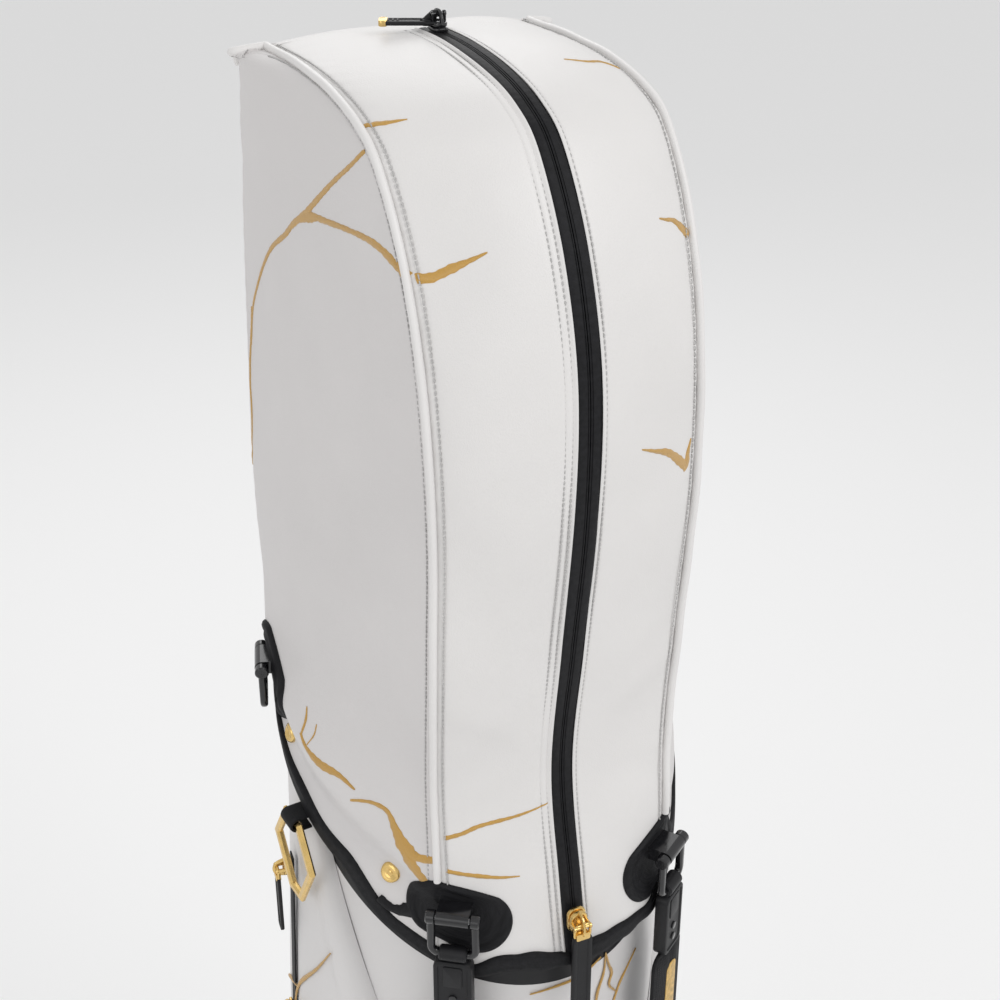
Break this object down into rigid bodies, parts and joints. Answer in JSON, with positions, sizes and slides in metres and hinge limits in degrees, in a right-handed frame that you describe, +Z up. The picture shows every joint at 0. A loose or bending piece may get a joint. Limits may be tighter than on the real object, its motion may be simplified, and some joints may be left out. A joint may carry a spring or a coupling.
{
  "type": "golf staff bag",
  "caption": "Upright golf staff bag with a zipped club hood, slanted moulded top, hinged strap rings, padded straps and side, ball and accessory pockets.",
  "frame": {"origin": "centre of the base pad on the floor, on the bag's upright axis", "axes": "+Z up, -Y towards the hood's zip and the ball pocket, -X towards the bag's left side"},
  "size_m": [0.2882, 0.3501, 1.2684],
  "materials": {
    "pu_leather": "soft satin grain",
    "pu_leather_side": "soft satin grain",
    "pu_leather_body": "soft satin grain",
    "zip_tape": "coated, matt",
    "gold_metal": "polished plate",
    "pull_rubber": "matt",
    "webbing": "woven",
    "moulded_plastic": "fine grain",
    "strap_fabric": "padded mesh",
    "lining_fabric": "woven",
    "foot_rubber": "matt",
    "stay_metal": "drawn",
    "pin_steel": "turned"
  },
  "bodies": {
    "bag": {"back_handle": "strap_fabric", "back_spine": "moulded_plastic", "base_feet": "foot_rubber", "base_tub": "moulded_plastic", "body_shell": "pu_leather_body", "divider_sleeves": "lining_fabric", "hood_back": "pu_leather_side", "hood_front_left": "pu_leather", "hood_front_right": "pu_leather", "hood_hem_band": "webbing", "hood_piping_left": "pu_leather", "hood_piping_right": "pu_leather", "hood_side_left": "pu_leather_side", "hood_side_right": "pu_leather_side", "hood_zip_tape_left": "zip_tape", "hood_zip_tape_right": "zip_tape", "pocket_accessory": "pu_leather_body", "pocket_ball": "pu_leather_body", "pocket_left": "pu_leather_body", "pocket_right": "pu_leather_body", "pocket_zip_tapes": "zip_tape", "port_patches": "pull_rubber", "ring_brackets": "moulded_plastic", "ring_pins": "pin_steel", "snap_caps": "gold_metal", "snap_studs": "pin_steel", "stay_rods": "stay_metal", "strap_anchors": "webbing", "top_cuff": "moulded_plastic", "towel_tab": "pull_rubber"},
    "hood_slider": {"hood_slider": "gold_metal"},
    "hood_pull": {"hood_pull": "pull_rubber"},
    "crown_slider": {"crown_slider": "gold_metal"},
    "crown_pull": {"crown_pull": "pull_rubber"},
    "slider_left_upper": {"slider_left_upper": "gold_metal"},
    "pull_left_upper": {"pull_left_upper": "pull_rubber"},
    "slider_left_lower": {"slider_left_lower": "gold_metal"},
    "pull_left_lower": {"pull_left_lower": "pull_rubber"},
    "slider_right": {"slider_right": "gold_metal"},
    "pull_right": {"pull_right": "pull_rubber"},
    "slider_ball": {"slider_ball": "gold_metal"},
    "pull_ball": {"pull_ball": "pull_rubber"},
    "slider_accessory": {"slider_accessory": "gold_metal"},
    "pull_accessory": {"pull_accessory": "pull_rubber"},
    "ring_front_left": {"ring_front_left": "moulded_plastic"},
    "strap_front_left": {"strap_end_front_left": "moulded_plastic", "strap_front_left": "strap_fabric"},
    "ring_front_right": {"ring_front_right": "moulded_plastic"},
    "strap_front_right": {"strap_end_front_right": "moulded_plastic", "strap_front_right": "strap_fabric"},
    "ring_rear_left": {"ring_rear_left": "moulded_plastic"},
    "ring_rear_right": {"ring_rear_right": "moulded_plastic"},
    "ring_shoulder": {"ring_shoulder": "moulded_plastic"},
    "strap_shoulder": {"strap_end_shoulder": "moulded_plastic", "strap_shoulder": "strap_fabric"},
    "towel_ring": {"towel_ring": "gold_metal"}
  },
  "joints": [
    {"name": "hood_zip_slide", "type": "slide", "parent": "bag", "child": "hood_slider", "axis": [0, 0.2776, 0.9607], "range_m": [0, 0.009]},
    {"name": "hood_pull_swing", "type": "hinge", "parent": "hood_slider", "child": "hood_pull", "pos_m": [0, -0.15014, 0.76474], "axis": [-1, 0, 0], "range_deg": [0, 150]},
    {"name": "crown_zip_slide", "type": "slide", "parent": "bag", "child": "crown_slider", "axis": [0, -0.9999, 0.0164], "range_m": [0, 0.03]},
    {"name": "crown_pull_lift", "type": "hinge", "parent": "crown_slider", "child": "crown_pull", "pos_m": [0, 0.05, 1.26611], "axis": [0.4226, 0.9063, 0], "range_deg": [0, 165]},
    {"name": "zip_left_upper_slide", "type": "slide", "parent": "bag", "child": "slider_left_upper", "axis": [-0.0432, 0.0049, -0.9991], "range_m": [0, 0.0395]},
    {"name": "pull_left_upper_swing", "type": "hinge", "parent": "slider_left_upper", "child": "pull_left_upper", "pos_m": [-0.13814, 0.01909, 0.72792], "axis": [0.1133, 0.9936, 0], "range_deg": [0, 150]},
    {"name": "zip_left_lower_slide", "type": "slide", "parent": "bag", "child": "slider_left_lower", "axis": [-0.0432, 0.0048, -0.9991], "range_m": [0, 0.1645]},
    {"name": "pull_left_lower_swing", "type": "hinge", "parent": "slider_left_lower", "child": "pull_left_lower", "pos_m": [-0.14359, 0.01905, 0.60342], "axis": [0.1096, 0.994, 0], "range_deg": [0, 150]},
    {"name": "zip_right_slide", "type": "slide", "parent": "bag", "child": "slider_right", "axis": [0.0432, 0.0049, -0.9991], "range_m": [0, 0.289]},
    {"name": "pull_right_swing", "type": "hinge", "parent": "slider_right", "child": "pull_right", "pos_m": [0.13814, 0.01909, 0.72792], "axis": [0.1133, -0.9936, 0], "range_deg": [0, 150]},
    {"name": "zip_ball_slide", "type": "slide", "parent": "bag", "child": "slider_ball", "axis": [0, 0, -1], "range_m": [0, 0.243]},
    {"name": "pull_ball_swing", "type": "hinge", "parent": "slider_ball", "child": "pull_ball", "pos_m": [-0.04482, -0.17186, 0.3495], "axis": [-0.956, 0.2934, 0], "range_deg": [0, 150]},
    {"name": "zip_accessory_slide", "type": "slide", "parent": "bag", "child": "slider_accessory", "axis": [0, 0, -1], "range_m": [0, 0.1065]},
    {"name": "pull_accessory_swing", "type": "hinge", "parent": "slider_accessory", "child": "pull_accessory", "pos_m": [-0.01829, -0.16136, 0.5375], "axis": [-0.9909, 0.1344, 0], "range_deg": [0, 150]},
    {"name": "ring_front_left_swing", "type": "hinge", "parent": "bag", "child": "ring_front_left", "pos_m": [-0.07441, -0.1262, 0.77985], "axis": [-0.8129, 0.5824, 0], "range_deg": [0, 80]},
    {"name": "strap_front_left_swing", "type": "hinge", "parent": "ring_front_left", "child": "strap_front_left", "pos_m": [-0.07441, -0.1262, 0.75285], "axis": [-0.8129, 0.5824, 0], "range_deg": [0, 80]},
    {"name": "ring_front_right_swing", "type": "hinge", "parent": "bag", "child": "ring_front_right", "pos_m": [0.07441, -0.1262, 0.77985], "axis": [-0.8129, -0.5824, 0], "range_deg": [0, 80]},
    {"name": "strap_front_right_swing", "type": "hinge", "parent": "ring_front_right", "child": "strap_front_right", "pos_m": [0.07441, -0.1262, 0.75285], "axis": [-0.8129, -0.5824, 0], "range_deg": [0, 80]},
    {"name": "ring_rear_left_swing", "type": "hinge", "parent": "bag", "child": "ring_rear_left", "pos_m": [-0.12864, 0.05037, 0.87181], "axis": [0.3062, 0.952, 0], "range_deg": [0, 110]},
    {"name": "ring_rear_right_swing", "type": "hinge", "parent": "bag", "child": "ring_rear_right", "pos_m": [0.12864, 0.05037, 0.87181], "axis": [0.3062, -0.952, 0], "range_deg": [0, 110]},
    {"name": "ring_shoulder_swing", "type": "hinge", "parent": "bag", "child": "ring_shoulder", "pos_m": [0.07505, 0.12574, 0.79894], "axis": [0.8096, -0.587, 0], "range_deg": [0, 80]},
    {"name": "strap_shoulder_swing", "type": "hinge", "parent": "ring_shoulder", "child": "strap_shoulder", "pos_m": [0.07505, 0.12574, 0.77194], "axis": [0.8096, -0.587, 0], "range_deg": [0, 80]},
    {"name": "towel_ring_swing", "type": "hinge", "parent": "bag", "child": "towel_ring", "pos_m": [-0.13509, -0.0149, 0.79344], "axis": [-0.0902, 0.9959, 0], "range_deg": [0, 110]}
  ]
}
